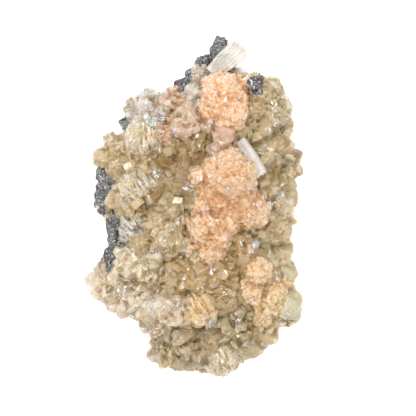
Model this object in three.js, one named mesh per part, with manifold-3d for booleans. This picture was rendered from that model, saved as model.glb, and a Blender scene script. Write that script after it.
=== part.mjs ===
// Stellerite with heulandite on basalt: a hand-sized mineral specimen that lies on its broken rock back.
// A dark basalt slab carries one crust of intergrown cream and olive crystals. Peach balls and
// rosettes of stellerite and single glassy crystals of heulandite sit in sockets in that crust.
// Units are millimetres, +Z is up, +Y runs along the specimen towards its narrow top end.
import * as THREE from "three";
import { ConvexGeometry } from "three/addons/geometries/ConvexGeometry.js";
import { mergeVertices } from "three/addons/utils/BufferGeometryUtils.js";
import Module from "manifold-3d";

const wasm = await Module();
wasm.setup();

// Heights of the basalt slab at its crown and at its rim
const CROWN_HEIGHT = 19;
const RIM_HEIGHT = 9;

// The crust is a thin layer over the slab, and every piece keeps the seat gap to its neighbour
const CRUST_THICKNESS = 2.2;
const SEAT_GAP = 0.35;

// The middle of the whole specimen's box, measured from the point that the places below start from
const BOX_MIDDLE = [0.2, 0.13];

// Surface colour and roughness of each kind of piece
const FINISHES = {
  basalt: { color: "#574f50", roughness: 0.95, metalness: 0 },
  druse: { color: "#c8b48c", roughness: 0.45, metalness: 0 },
  peach: { color: "#ecc694", roughness: 0.5, metalness: 0 },
  cream: { color: "#dcc7a4", roughness: 0.5, metalness: 0 },
  olive: { color: "#b29a70", roughness: 0.3, metalness: 0 },
  clear: { color: "#d3c6b4", roughness: 0.2, metalness: 0 },
};

// Small tools

// A repeatable number from 0 to 1 for each whole number.
function chance(seed) {
  const s = Math.sin(seed * 127.1 + 311.7) * 43758.5453;
  return s - Math.floor(s);
}

// Smooth noise from -1 to 1: waves in three directions that never line up.
function ripple(x, y, z) {
  return (
    (Math.sin(x * 1.31 + y * 0.57 + z * 0.83) +
      Math.sin(y * 1.73 - x * 0.41 + z * 1.19 + 1.7) +
      Math.sin(z * 1.47 - y * 0.91 + x * 1.03 + 4.1)) /
    3
  );
}

// A closed three.js geometry as a solid that can be joined and cut.
function solidOf(geometry) {
  const bare = geometry.index ? geometry.toNonIndexed() : geometry.clone();
  bare.deleteAttribute("normal");
  bare.deleteAttribute("uv");
  const merged = mergeVertices(bare, 1e-4);
  return new wasm.Manifold(
    new wasm.Mesh({
      numProp: 3,
      vertProperties: new Float32Array(merged.attributes.position.array),
      triVerts: new Uint32Array(merged.index.array),
    }),
  );
}

function joined(solids) {
  return solids.reduce((whole, solid) => whole.add(solid));
}

function cutFrom(solid, cutters) {
  return cutters.reduce((left, cutter) => left.subtract(cutter), solid);
}

function geometryOf(solid) {
  const { vertProperties, triVerts, numProp } = solid.getMesh();
  const corners = [];
  triVerts.forEach((v) => corners.push(...vertProperties.subarray(v * numProp, v * numProp + 3)));
  const geometry = new THREE.BufferGeometry();
  geometry.setAttribute("position", new THREE.Float32BufferAttribute(corners, 3));
  geometry.computeVertexNormals();
  return geometry;
}

function middleOf(ring) {
  return ring.reduce((sum, p) => sum.add(p), new THREE.Vector3()).divideScalar(ring.length);
}

// A closed skin through rings of points that run anticlockwise as seen from the last ring's end.
function loft(rings, capMiddle = middleOf) {
  const corners = [];
  const face = (...points) => points.forEach((p) => corners.push(p.x, p.y, p.z));
  const count = rings[0].length;
  const last = rings[rings.length - 1];
  for (let i = 0; i < count; i++) {
    const j = (i + 1) % count;
    face(capMiddle(rings[0]), rings[0][j], rings[0][i]);
    for (let k = 0; k + 1 < rings.length; k++) {
      face(rings[k][i], rings[k][j], rings[k + 1][j]);
      face(rings[k][i], rings[k + 1][j], rings[k + 1][i]);
    }
    face(last[i], last[j], capMiddle(last));
  }
  const geometry = new THREE.BufferGeometry();
  geometry.setAttribute("position", new THREE.Float32BufferAttribute(corners, 3));
  return geometry;
}

// The turn that stands a shape grown along +Z along a direction, with its own roll about that line.
function turnTo(direction, roll) {
  const upward = new THREE.Vector3(0, 0, 1);
  const turn = new THREE.Quaternion().setFromUnitVectors(upward, direction.clone().normalize());
  return turn.multiply(new THREE.Quaternion().setFromAxisAngle(upward, roll));
}

function placed(geometry, turn, at) {
  return geometry.applyQuaternion(turn).translate(at[0], at[1], at[2]);
}

// The basalt slab

// The rock's edge seen from above, anticlockwise from the top end
const ROCK_EDGE = [
  [2.7, 48.7], [-6.7, 38.7], [-12, 36], [-18.7, 36], [-22.3, 31.3], [-25, 21.3],
  [-30.7, 14], [-34.7, 5.3], [-33.7, 1], [-25.7, -4], [-29.3, -11.3], [-31.3, -23.3],
  [-28.7, -30], [-20, -36.3], [-16, -41.7], [-12.3, -47.3], [-9.3, -51.7], [-5.7, -53.3],
  [-2.7, -49], [2.7, -50.7], [8, -51.7], [16, -46.7], [20.7, -45.3], [23.3, -41.3],
  [29.3, -37.3], [31.3, -31.3], [29.3, -25.3], [21.3, -17], [26, -8.7],
  [28.7, 11.3], [29.7, 18.7], [26, 28], [26.6, 34], [21.7, 40.7], [14, 48],
];

// How far the rock's edge lies from the origin in a direction, by crossing the edge's straight stretches.
function edgeRadius(dx, dy) {
  let reach = 0;
  ROCK_EDGE.forEach(([ax, ay], i) => {
    const [bx, by] = ROCK_EDGE[(i + 1) % ROCK_EDGE.length];
    const across = dx * (by - ay) - dy * (bx - ax);
    const along = (ax * (by - ay) - ay * (bx - ax)) / across;
    const share = (ax * dy - ay * dx) / across;
    if (along > 0 && Math.abs(share - 0.5) < 0.5 + 1e-9) reach = Math.max(reach, along);
  });
  return reach;
}

// The rock's upper surface: a low dome with hollows, level with the rim outside the edge.
function rockTop(x, y) {
  const far = Math.hypot(x, y);
  const share = far < 1e-6 ? 0 : Math.min(1, far / edgeRadius(x / far, y / far));
  const dome = RIM_HEIGHT + (CROWN_HEIGHT - RIM_HEIGHT) * (1 - share ** 2.4);
  return dome + 1.1 * ripple(x * 0.21, y * 0.21, 3);
}

// A place seen from above, with a height above the rock's surface.
function onRock(x, y, lift) {
  return [x, y, rockTop(x, y) + lift];
}

// Rings from base to top: share of the way to the edge, and the height, or null for the rock's surface
const ROCK_LEVELS = [[0.84, 0], [0.97, 4], [0.98, 7], [0.84, null], [0.5, null]];
const LAYER_LEVELS = [[0.84, 6], [0.93, null], [0.5, null]];

function slab(levels, corners, lift, grow, rough) {
  const rings = levels.map(([share, height], level) =>
    corners.map(([edgeX, edgeY], i) => {
      const wobble = 1 + 0.05 * rough * (chance(i * 13 + level * 7) - 0.5);
      const out = share * wobble + grow / Math.hypot(edgeX, edgeY);
      const [x, y] = [edgeX * out, edgeY * out];
      const step = 2 * rough * (chance(i * 5 + level * 31) - 0.5);
      const z = height === null ? rockTop(x, y) + lift : height;
      return new THREE.Vector3(x, y, height === 0 ? 0 : z + step);
    }),
  );
  return solidOf(loft(rings, (ring) => new THREE.Vector3(0, 0, middleOf(ring).z)));
}

// Rough knobs of rock that stand out of the slab: place, half sizes and number of the broken shape
const ROCK_KNOBS = [
  { at: [6.8, 51.2, 9.5], half: [3.8, 5.8, 6], shape: 1 },
  { at: [10.3, 50.4, 9], half: [3.5, 4.2, 5], shape: 2 },
  { at: [19.4, 40, 12], half: [3, 4.8, 6], shape: 3 },
  { at: [-30, 9, 10], half: [4.6, 5.2, 5.5], shape: 4 },
  { at: [-31.4, 3, 7.5], half: [4, 4.6, 4.5], shape: 5 },
  { at: [-26.4, -9.5, 10.5], half: [3.8, 7, 5.5], shape: 6 },
  { at: [-29.6, -19.5, 11], half: [2.8, 5, 5], shape: 7 },
  { at: [-6, -50, 7.5], half: [3.6, 4.4, 4.5], shape: 8 },
  { at: [19.4, -43.8, 8], half: [3.2, 2.6, 4], shape: 9 },
  { at: [27, 23.8, 9], half: [3.2, 2.6, 4], shape: 10 },
  { at: [-4.2, 40.4, 11], half: [3.4, 4.4, 4], shape: 11 },
];

// A broken lump: a ball of flat faces, fewer on a slim one, whose corners are moved in and out.
function brokenLump({ at, half, shape }, grow) {
  const geometry = new THREE.IcosahedronGeometry(1, half[0] > 4 ? 1 : 0);
  const place = geometry.attributes.position;
  const corner = new THREE.Vector3();
  for (let i = 0; i < place.count; i++) {
    corner.fromBufferAttribute(place, i);
    corner.multiplyScalar(1 + 0.2 * ripple(corner.x * 3 + shape * 5, corner.y * 3, corner.z * 3));
    corner.multiply(new THREE.Vector3(...half).addScalar(grow));
    place.setXYZ(i, at[0] + corner.x, at[1] + corner.y, at[2] + corner.z);
  }
  return solidOf(geometry);
}

function basalt(grow) {
  const body = slab(ROCK_LEVELS, ROCK_EDGE, grow, grow, 1);
  return joined([body, ...ROCK_KNOBS.map((knob) => brokenLump(knob, grow))]);
}

// The single crystals of heulandite

// Root, line of growth, sizes of the flat prism, its roll about that line, how narrow its end is, and the
// share of its length at which it starts to narrow
const SINGLE_CRYSTALS = {
  heulandite_sheaf_top: {
    root: [4.6, 44.4, 15.5], towards: [10, 8.6, 3.2], size: [14.4, 6.8, 4.6],
    roll: 0.2, tip: 0.82, shoulder: 0.86, finish: "clear",
  },
  heulandite_blade_middle: {
    root: [14.2, 21.6, 18.6], towards: [6.4, -11.4, 4.4], size: [14.6, 4.6, 2.6],
    roll: 0.5, tip: 0.4, shoulder: 0.74, finish: "clear",
  },
  heulandite_tablet_peach: {
    root: [6.4, 25, 18], towards: [3.6, -1.9, 3], size: [7.6, 5, 4.2],
    roll: 0.4, tip: 0.75, shoulder: 0.84, finish: "peach",
  },
  heulandite_tablet_tan: {
    root: [19.6, 13.4, 16.4], towards: [4, 3.6, 4.4], size: [7.6, 3.6, 2.6],
    roll: 1.1, tip: 0.6, shoulder: 0.8, finish: "olive",
  },
  heulandite_wedge_right: {
    root: [24.6, 7.4, 11.5], towards: [7.6, -1.8, 0.6], size: [8.6, 8, 5],
    roll: 1.2, tip: 0.3, shoulder: 0.55, finish: "olive",
  },
  heulandite_crystal_green: {
    root: [25.4, -21.6, 12.4], towards: [6.6, -2.4, 0.8], size: [8.2, 8.2, 5.4],
    roll: 1.4, tip: 0.72, shoulder: 0.74, finish: "olive",
  },
  heulandite_crystal_lower_right: {
    root: [25, -34.5, 12], towards: [8.4, 0.6, 0.2], size: [10, 12.4, 8],
    roll: 1.5, tip: 0.76, shoulder: 0.72, finish: "clear",
  },
  heulandite_leaf_left: {
    root: [-15.4, 18.2, 16.4], towards: [0.6, -14, 4.6], size: [15.4, 5.2, 4],
    roll: 0.3, tip: 0.35, shoulder: 0.6, finish: "olive",
  },
  heulandite_prism_right: {
    root: [16.4, -11, 15.4], towards: [3, -3.4, 4.4], size: [6.4, 4.4, 3.4],
    roll: 0.8, tip: 0.7, shoulder: 0.84, finish: "clear",
  },
  heulandite_prism_lower: {
    root: [3.2, -40.4, 12], towards: [1.4, 1.2, 4], size: [6.6, 4.4, 3],
    roll: 0.9, tip: 0.7, shoulder: 0.84, finish: "clear",
  },
};

// A flat-sided crystal along +Z from its root: a slim six-sided section that narrows to a bevelled end.
function prism([length, width, thickness], tip, shoulder) {
  const section = [[0.5, 0], [0.3, 0.5], [-0.3, 0.5], [-0.5, 0], [-0.3, -0.5], [0.3, -0.5]];
  const ring = (height, across, deep) =>
    section.map(([x, y]) => new THREE.Vector3(x * across, y * deep, height));
  return loft([
    ring(0, width * 0.7, thickness * 0.7),
    ring(length * shoulder, width, thickness),
    ring(length, width * tip, thickness * tip * 0.8),
  ]);
}

function singleCrystal({ root, towards, size, roll, tip, shoulder }, grow) {
  const direction = new THREE.Vector3(...towards).normalize();
  const start = new THREE.Vector3(...root).addScaledVector(direction, -grow);
  const grown = size.map((length) => length + 2 * grow);
  return solidOf(placed(prism(grown, tip, shoulder), turnTo(direction, roll), start.toArray()));
}

// The balls of stellerite: each is a few drusy lobes grown into one

// Each lobe's place seen from above, radius, and height of its middle above the rock
const BALLS = {
  stellerite_ball_upper: [
    [8, 37, 7.3, 3.4], [10.8, 30, 5.4, 5.4], [4.6, 32.4, 4.4, 3.4], [13, 40, 3.6, 2.6],
  ],
  stellerite_ball_middle: [
    [10, 8.7, 9.6, 3.2], [16.4, -1.6, 7, 3], [2.4, -7.4, 6.6, 2.4], [4, -14, 5.4, 2],
    [0.6, 9.6, 3, 4.4], [3, 1.4, 5.2, 3.4], [9, -4, 6, 3.4], [-1.8, -13.4, 3.4, 1.4],
  ],
  stellerite_ball_lower_right: [
    [19.6, -21.8, 4.3, 3.6], [17.8, -28.4, 4.8, 3.2], [25.4, -31, 6, 4], [21.8, -35.8, 4.4, 3],
    [28.6, -27, 3, 4.4],
  ],
};

// A drusy lobe: a ball of flat faces, fewer on a small one, whose corners stand in and out.
function drusyLobe([x, y, radius, lift], grow) {
  const geometry = new THREE.IcosahedronGeometry(1, radius > 5.3 ? 1 : 0);
  const middle = new THREE.Vector3(...onRock(x, y, lift));
  const place = geometry.attributes.position;
  const corner = new THREE.Vector3();
  for (let i = 0; i < place.count; i++) {
    corner.fromBufferAttribute(place, i);
    const key = [7, 13, 29].reduce(
      (sum, step, axis) => sum + step * Math.round(corner.getComponent(axis) * 50),
      0,
    );
    corner.multiplyScalar(radius * (0.95 + 0.14 * chance(key)) + grow).add(middle);
    place.setXYZ(i, corner.x, corner.y, corner.z);
  }
  return solidOf(geometry);
}

function ball(lobes, grow) {
  return joined(lobes.map((lobe) => drusyLobe(lobe, grow)));
}

// The rosettes of stellerite: plates that fan about one line, so that their rims make a fluted ball

// Each rosette's place seen from above and lift, radius, number of plates, and the line that they fan about
const ROSETTES = {
  stellerite_rosette_lower: {
    place: [1, -34, 3.4], radius: 5.8, plates: 8, line: [0.5, -0.9, 0.5], finish: "peach",
  },
  stellerite_rosette_olive: {
    place: [8.6, -29.6, 1.6], radius: 6, plates: 8, line: [1, 0.2, 0.4], finish: "olive",
  },
  stellerite_rosette_left: {
    place: [-19.6, 6, 2.4], radius: 5.8, plates: 7, line: [0.6, -1, 0.4], finish: "cream",
  },
  stellerite_rosette_upper_left: {
    place: [-17.2, 22, 1.6], radius: 6.6, plates: 8, line: [-0.2, 1, 0.5], finish: "cream",
  },
  stellerite_rosette_bottom: {
    place: [8, -50.8, 2.6], radius: 5.6, plates: 7, line: [0.5, -1, 0.2], finish: "cream",
  },
  stellerite_rosette_shell: {
    place: [-20.6, -7.6, 1.4], radius: 5.8, plates: 8, line: [0.6, -0.6, 0.9], finish: "cream",
  },
};

// Rings about the fan's line, from pole to pole: share of the radius along the line and away from it
const FLUTE_RINGS = [[-0.8, 0.6], [0, 1], [0.8, 0.6]];
const FLUTE_DEPTH = 0.16;

// A grown rosette, as for its socket, is plain: its sides touch the crests of the plates.
function rosette({ place: [x, y, lift], radius, plates, line }, grow) {
  const plain = grow > 0;
  const sides = plain ? plates : plates * 2;
  const crest = plain ? 1 / Math.cos(Math.PI / plates) : 1;
  const rings = FLUTE_RINGS.map(([along, away]) =>
    Array.from({ length: sides }, (_, i) => {
      const turn = ((i + (plain ? 0.5 : 0)) / sides) * 2 * Math.PI;
      const flute = !plain && i % 2 ? 1 - FLUTE_DEPTH : crest;
      const reach = (radius * away + grow) * flute;
      const height = radius * along * 0.9 + Math.sign(along) * grow;
      return new THREE.Vector3(Math.cos(turn) * reach, Math.sin(turn) * reach, height);
    }),
  );
  return solidOf(placed(loft(rings), turnTo(new THREE.Vector3(...line), 0), onRock(x, y, lift)));
}

// The crust of cream and olive crystals: a thin layer on the rock that joins lumps and blocky crystals

// Each clump's place seen from above, radius, and height of its middle above the rock
const CRUST_CLUMPS = {
  top_end: [[1.6, 43.6, 4.2, 0.4], [-0.6, 36.6, 3.6, 1]],
  left_shoulder: [
    [-16.6, 33.7, 4.4, 1], [-21.4, 32, 3.6, 0.4], [-16.3, 27.6, 3.2, 0.6],
    [-8, 33.6, 5.8, 0.4], [-2.6, 27, 6.6, 0.4], [-12.2, 23, 3.6, 1.2],
  ],
  right_shoulder: [
    [17.6, 38.4, 3.6, 0.8], [18.6, 32.6, 4, 0.6], [23.8, 37.2, 4.6, 0.4],
    [24, 31, 4.8, 0.6], [20.4, 25.8, 4, 0.4],
  ],
  right_side: [
    [25.6, 18.8, 6.2, 0.8], [29, 13.8, 4.4, 0.4], [27, 0.4, 4.4, 0.6], [24.4, -7.4, 4.8, 0.2],
  ],
  left_side: [[-26.6, 15.6, 4.4, 0.8], [-21.8, 12, 4.8, 1.6], [-23.4, -0.2, 4.6, 0.6]],
  olive_hollow: [
    [-7.6, 18.4, 5.6, -1], [-1.4, 18.8, 5, -0.8], [-6.8, 11.6, 5.6, -1.8], [-8, 5, 5.4, -1],
  ],
  left_of_middle: [[-11, -7.6, 6.2, 0.6], [-15.2, -14.4, 4.4, 0.4], [-9.4, -0.8, 4.6, 1]],
  lower_left: [
    [-29.8, -25.6, 5, 0.4], [-25.6, -30, 4.6, 0], [-23.4, -22, 4.2, 1.6],
    [-20, -27.4, 5.2, 0.8], [-15.6, -21.4, 4.2, 1.2],
  ],
  below_middle: [
    [-7, -23.4, 6.2, 0.6], [1, -23.6, 5, 0.4], [8.8, -19.4, 4.2, 0.6], [14, -18, 4, 0.2],
  ],
  lower_slope: [
    [-11.4, -33, 5, 0.2], [-17, -32.6, 3.6, 0], [-5.6, -35.6, 4.4, 0],
    [-12.6, -40.4, 4.4, 0], [-13, -44, 3, -0.2],
  ],
  lower_end: [
    [12, -38.4, 5.6, 0.2], [-4.8, -44.6, 5.2, 0], [-9, -48.6, 4, 0.6],
    [2.2, -46, 4.6, 0.6], [1, -51, 3.6, 0.4], [14, -46.2, 4.6, 0.2],
  ],
  lower_right: [[26, -18.6, 4.6, 0.8], [21.4, -39.6, 4.8, 0]],
};

// From the first radius up a clump is a lump, and below it one blocky crystal. From the second radius up one
// crystal also stands out of the lump.
const LUMP_RADIUS = 4.5;
const STUDDED_RADIUS = 5.5;

// A four-sided crystal along +Z that narrows a little to a flat end, with twelve faces.
function block(length, width, thickness) {
  const corner = (x, y, share, height) =>
    new THREE.Vector3((x * width * share) / 2, (y * thickness * share) / 2, height);
  const ends = [[1, 0], [0.7, length]].map(([share, height]) =>
    [[1, 1], [-1, 1], [-1, -1], [1, -1]].map(([x, y]) => corner(x, y, share, height)),
  );
  return new ConvexGeometry(ends.flat());
}

function clump([x, y, radius, lift]) {
  const at = onRock(x, y, lift);
  const seed = Math.round(x * 37 + y * 91);
  const turn = 2 * Math.PI * chance(seed + 5);
  const lean = new THREE.Vector3(Math.cos(turn), Math.sin(turn), 1.2 + chance(seed + 3));
  const roll = turnTo(lean, Math.PI * chance(seed + 7));
  if (radius < LUMP_RADIUS) {
    const root = lean.normalize().multiplyScalar(-radius).add(new THREE.Vector3(...at));
    return solidOf(placed(block(radius * 2, radius * 1.7, radius * 1.1), roll, root.toArray()));
  }
  const heart = solidOf(placed(new THREE.IcosahedronGeometry(radius, 0), roll, at));
  if (radius < STUDDED_RADIUS) return heart;
  return heart.add(solidOf(placed(block(radius * 1.2, radius * 0.9, radius * 0.5), roll, at)));
}

function crust() {
  const layer = slab(LAYER_LEVELS, ROCK_EDGE, CRUST_THICKNESS, 0, 0);
  return joined([layer, ...Object.values(CRUST_CLUMPS).flat().map(clump)]);
}

// The whole specimen: each piece is cut back from the rock and from the pieces that stand in it

const specimen = new THREE.Group();
const seats = [basalt(SEAT_GAP)];

// The main body of a solid, without the loose crumbs that cutting can leave.
function mainBody(solid) {
  return solid.decompose().reduce((main, body) => (body.volume() > main.volume() ? body : main));
}

function addPiece(name, solid, finish) {
  const material = new THREE.MeshStandardMaterial(FINISHES[finish]);
  const mesh = new THREE.Mesh(geometryOf(mainBody(solid)), material);
  mesh.name = name;
  specimen.add(mesh);
}

function seatPiece(name, shape, form, finish) {
  addPiece(name, cutFrom(shape(form, 0), seats), finish);
  seats.push(shape(form, SEAT_GAP));
}

addPiece("basalt_matrix", basalt(0), "basalt");
for (const [name, form] of Object.entries(SINGLE_CRYSTALS)) {
  seatPiece(name, singleCrystal, form, form.finish);
}
for (const [name, lobes] of Object.entries(BALLS)) {
  seatPiece(name, ball, lobes, "peach");
}
for (const [name, form] of Object.entries(ROSETTES)) {
  seatPiece(name, rosette, form, form.finish);
}
addPiece("heulandite_crust", cutFrom(crust(), seats), "druse");

specimen.position.set(-BOX_MIDDLE[0], -BOX_MIDDLE[1], 0);

export default specimen;
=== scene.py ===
import bpy
import numpy as np
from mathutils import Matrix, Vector
from mathutils.bvhtree import BVHTree
from mathutils.kdtree import KDTree


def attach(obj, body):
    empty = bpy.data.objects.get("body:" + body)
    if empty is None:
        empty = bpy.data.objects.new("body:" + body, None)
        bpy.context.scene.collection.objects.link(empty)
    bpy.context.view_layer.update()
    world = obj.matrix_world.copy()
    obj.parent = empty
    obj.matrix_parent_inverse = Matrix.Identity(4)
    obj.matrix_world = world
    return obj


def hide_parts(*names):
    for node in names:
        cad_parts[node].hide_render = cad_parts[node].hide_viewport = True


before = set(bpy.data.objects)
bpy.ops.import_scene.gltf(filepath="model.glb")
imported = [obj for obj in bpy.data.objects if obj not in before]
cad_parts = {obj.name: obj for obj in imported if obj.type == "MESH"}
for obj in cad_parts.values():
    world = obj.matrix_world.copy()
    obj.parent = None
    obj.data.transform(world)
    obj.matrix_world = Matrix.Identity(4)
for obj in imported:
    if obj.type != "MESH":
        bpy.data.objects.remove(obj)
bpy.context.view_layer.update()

# Basalt matrix
# The dark rock that everything grew on: fine-grained basalt, purple-brown where it is freshly broken, with a
# teal-grey clay skin and white powder of decayed zeolite at its edges. It was broken off and cut flat below.
MM = 0.001
LAYOUT_MIDDLE = np.array([0.2, 0.13, 0.0])
CROWN_HEIGHT = 19
RIM_HEIGHT = 9
ROCK_EDGE = np.array([
    [2.7, 48.7], [-6.7, 38.7], [-12, 36], [-18.7, 36], [-22.3, 31.3], [-25, 21.3], [-30.7, 14], [-34.7, 5.3],
    [-33.7, 1], [-25.7, -4], [-29.3, -11.3], [-31.3, -23.3], [-28.7, -30], [-20, -36.3], [-16, -41.7],
    [-12.3, -47.3], [-9.3, -51.7], [-5.7, -53.3], [-2.7, -49], [2.7, -50.7], [8, -51.7], [16, -46.7],
    [20.7, -45.3], [23.3, -41.3], [29.3, -37.3], [31.3, -31.3], [29.3, -25.3], [21.3, -17], [26, -8.7],
    [28.7, 11.3], [29.7, 18.7], [26, 28], [26.6, 34], [21.7, 40.7], [14, 48],
])
ROCK_KNOBS = [
    ((6.6, 50, 9.5), (3.4, 5, 5.6)), ((9.8, 50.2, 9), (3.2, 4, 5)), ((19.4, 39.4, 12), (2.8, 4.2, 6)),
    ((-28.8, 8.4, 11.6), (5.4, 6.2, 6)), ((-30.8, 2.4, 9.4), (4.6, 5, 5.4)), ((-26, -10, 12.2), (4.2, 7, 5.5)),
    ((-29.2, -18.8, 11.6), (3, 5, 5)), ((-6, -50, 7.5), (3.6, 4.4, 4.5)), ((19.4, -43.8, 8), (3.2, 2.6, 4)),
    ((27, 23.8, 9), (3.2, 2.6, 4)), ((-4.4, 40, 11), (2.8, 3, 4)), ((-27.4, -4.6, 8.4), (3.4, 3.2, 4)),
    ((-1.4, 43.6, 10.5), (2.6, 3.2, 4)), ((2, 47, 10), (3.4, 3.4, 4)), ((-22, 27.8, 9.5), (3.4, 3, 4)),
    ((-28.8, 5.6, 9.5), (3.6, 5, 4.4)), ((-27.6, -14.6, 10.5), (3.2, 5, 5)), ((-30, -21.4, 9), (2.4, 3.6, 4.4)),
    ((-14.8, 2.6, 17.4), (2, 2.4, 3)), ((12.2, 18.6, 17.6), (2, 1.8, 3)), ((20.4, -16.8, 13.4), (2.4, 1.9, 3)),
]


def linear(colour):
    """The linear value of an sRGB hex colour: a channel is divided by 12.92 where dark, else raised to 2.4."""
    channels = [int(colour[i:i + 2], 16) / 255 for i in (1, 3, 5)]
    return [c / 12.92 if c <= 0.04045 else ((c + 0.055) / 1.055) ** 2.4 for c in channels] + [1.0]


def wire(tree, node, inputs):
    """Gives each input that is named or numbered its value or its link."""
    for name, value in inputs.items():
        if isinstance(value, bpy.types.NodeSocket):
            tree.links.new(value, node.inputs[name])
        else:
            node.inputs[name].default_value = value
    return node


def add(tree, kind, inputs, **settings):
    """A node of one kind with its settings and its inputs."""
    node = tree.nodes.new(kind)
    for name, value in settings.items():
        setattr(node, name, value)
    return wire(tree, node, inputs)


def begin_finish(name):
    """A named material, its nodes, its shader, and the Object coordinates that its patterns read."""
    material = bpy.data.materials.new(name)
    material.use_nodes = True
    tree = material.node_tree
    return material, tree, tree.nodes["Principled BSDF"], add(tree, "ShaderNodeTexCoord", {}).outputs["Object"]


def chance(cell, seed):
    """A repeatable number from 0 to 1 for each whole-number place: the fraction of a large sine."""
    wave = np.sin(cell @ np.array([127.1, 311.7, 74.7]) + seed * 53.3) * 43758.5453
    return wave - np.floor(wave)


def cloud(points, size, seed):
    """Smooth noise from -1 to 1: chances at the corners of cubes of a size, blended by 3t^2 - 2t^3 between."""
    place = points / size
    base = np.floor(place)
    share = place - base
    share = share * share * (3 - 2 * share)
    total = np.zeros(len(points))
    for corner in np.ndindex(2, 2, 2):
        weight = np.prod(np.where(np.array(corner) == 1, share, 1 - share), axis=1)
        total += weight * chance(base + corner, seed)
    return 2 * total - 1


def grains(points, size, seed):
    """The distance to the nearest of points scattered one to a cube, as a share of the cube's size."""
    place = points / size
    base = np.floor(place)
    nearest = np.full(len(points), 9.0)
    for step in np.ndindex(3, 3, 3):
        cell = base + step - 1
        spot = cell + np.stack([chance(cell, seed + k) for k in (1, 2, 3)], axis=1)
        nearest = np.minimum(nearest, np.linalg.norm(place - spot, axis=1))
    return nearest


def ball_grid(rows, columns):
    """Unit directions in rows from pole to pole and columns round the vertical, and the faces between them."""
    turn = np.arange(columns) * 2 * np.pi / columns
    tilt = np.pi * (np.arange(rows) + 1) / (rows + 1)
    ring = np.stack([
        np.outer(np.sin(tilt), np.cos(turn)), np.outer(np.sin(tilt), np.sin(turn)),
        np.outer(-np.cos(tilt), np.ones(columns)),
    ], axis=-1).reshape(-1, 3)
    here = np.arange(columns)
    after = (here + 1) % columns
    low = 1 + np.arange(rows - 1)[:, None] * columns
    quads = np.stack([low + here, low + after, low + columns + after, low + columns + here], axis=-1)
    last = 1 + (rows - 1) * columns
    bottom = np.stack([np.zeros(columns, int), 1 + after, 1 + here], axis=-1)
    top = np.stack([last + here, last + after, np.full(columns, rows * columns + 1)], axis=-1)
    return np.vstack([[[0, 0, -1]], ring, [[0, 0, 1]]]), [quads.reshape(-1, 4), bottom, top]


def wrapped(rows, columns):
    """The faces of a surface of rows by closed columns, and of the fans to its poles, the two points after it."""
    here = np.arange(columns)
    after = (here + 1) % columns
    low = np.arange(rows - 1)[:, None] * columns
    quads = np.stack([low + here, low + after, low + columns + after, low + columns + here], axis=-1)
    last, pole = (rows - 1) * columns, np.full(columns, rows * columns)
    under, over = [pole, after, here], [last + here, last + after, pole + 1]
    return [quads.reshape(-1, 4), np.stack(under, axis=-1), np.stack(over, axis=-1)]


def make_piece(name, parts, material, slot, *nodes, melt=0.0):
    """One mesh from parts of (points, face arrays, depth, pick, smooth), standing for the CAD nodes it names.
    With melt, crystals that grew into each other become one skin, remade in voxels of that many millimetres."""
    points = np.vstack([part[0] for part in parts])
    starts = np.cumsum([0] + [len(part[0]) for part in parts])
    loops, totals, smooth = [], [], []
    for part, start in zip(parts, starts):
        for faces in part[1]:
            loops.append((faces + start).ravel())
            totals.append(np.full(len(faces), faces.shape[1]))
            smooth.append(np.full(len(faces), part[4]))
    loops, totals, smooth = (np.concatenate(rows) for rows in (loops, totals, smooth))
    mesh = bpy.data.meshes.new(name)
    mesh.vertices.add(len(points))
    mesh.vertices.foreach_set("co", ((points - LAYOUT_MIDDLE) * MM).astype(np.float32).ravel())
    mesh.loops.add(len(loops))
    mesh.loops.foreach_set("vertex_index", loops.astype(np.int32))
    mesh.polygons.add(len(totals))
    mesh.polygons.foreach_set("loop_start", np.concatenate([[0], np.cumsum(totals)[:-1]]).astype(np.int32))
    mesh.polygons.foreach_set("use_smooth", smooth)
    mesh.update(calc_edges=True)
    # The first attribute is painted light for the crystal finishes: 0 painted shade, 1 painted highlight
    for label, column in (("depth", 2), ("pick", 3)):
        values = np.concatenate([np.broadcast_to(part[column], len(part[0])) for part in parts])
        mesh.attributes.new(label, "FLOAT", "POINT").data.foreach_set("value", values.astype(np.float32))
    mesh.materials.append(material)
    piece = bpy.data.objects.new(name, mesh)
    bpy.context.collection.objects.link(piece)
    if melt:
        mesh.remesh_voxel_size = melt * MM
        bpy.context.view_layer.objects.active = piece
        with bpy.context.temp_override(object=piece, active_object=piece, selected_objects=[piece]):
            bpy.ops.object.voxel_remesh()
    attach(piece, "root")
    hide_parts(*nodes)
    return piece


def edge_radius(dx, dy):
    """How far the rock's edge lies from the middle in each direction: where that line crosses the edge."""
    start, span = ROCK_EDGE, np.roll(ROCK_EDGE, -1, axis=0) - ROCK_EDGE
    across = np.outer(dx, span[:, 1]) - np.outer(dy, span[:, 0])
    across = np.where(np.abs(across) < 1e-9, 1e-9, across)
    along = (start[:, 0] * span[:, 1] - start[:, 1] * span[:, 0]) / across
    share = (np.outer(dy, start[:, 0]) - np.outer(dx, start[:, 1])) / across
    crossed = (along > 0) & (np.abs(share - 0.5) < 0.5 + 1e-6)
    return np.where(crossed, along, 0).max(axis=1)


def rock_top(x, y):
    """The rock's height: a dome of the distance's 2.4th power from crown to rim, plus three slow sine waves."""
    far = np.hypot(x, y) + 1e-6
    share = np.minimum(1, far / edge_radius(x / far, y / far))
    u, v, w = x * 0.21, y * 0.21, 3
    waves = (np.sin(1.31 * u + 0.57 * v + 0.83 * w) + np.sin(1.73 * v - 0.41 * u + 1.19 * w + 1.7)
             + np.sin(1.47 * w - 0.91 * v + 1.03 * u + 4.1)) / 3
    return RIM_HEIGHT + (CROWN_HEIGHT - RIM_HEIGHT) * (1 - share ** 2.4) + 1.1 * waves


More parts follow.
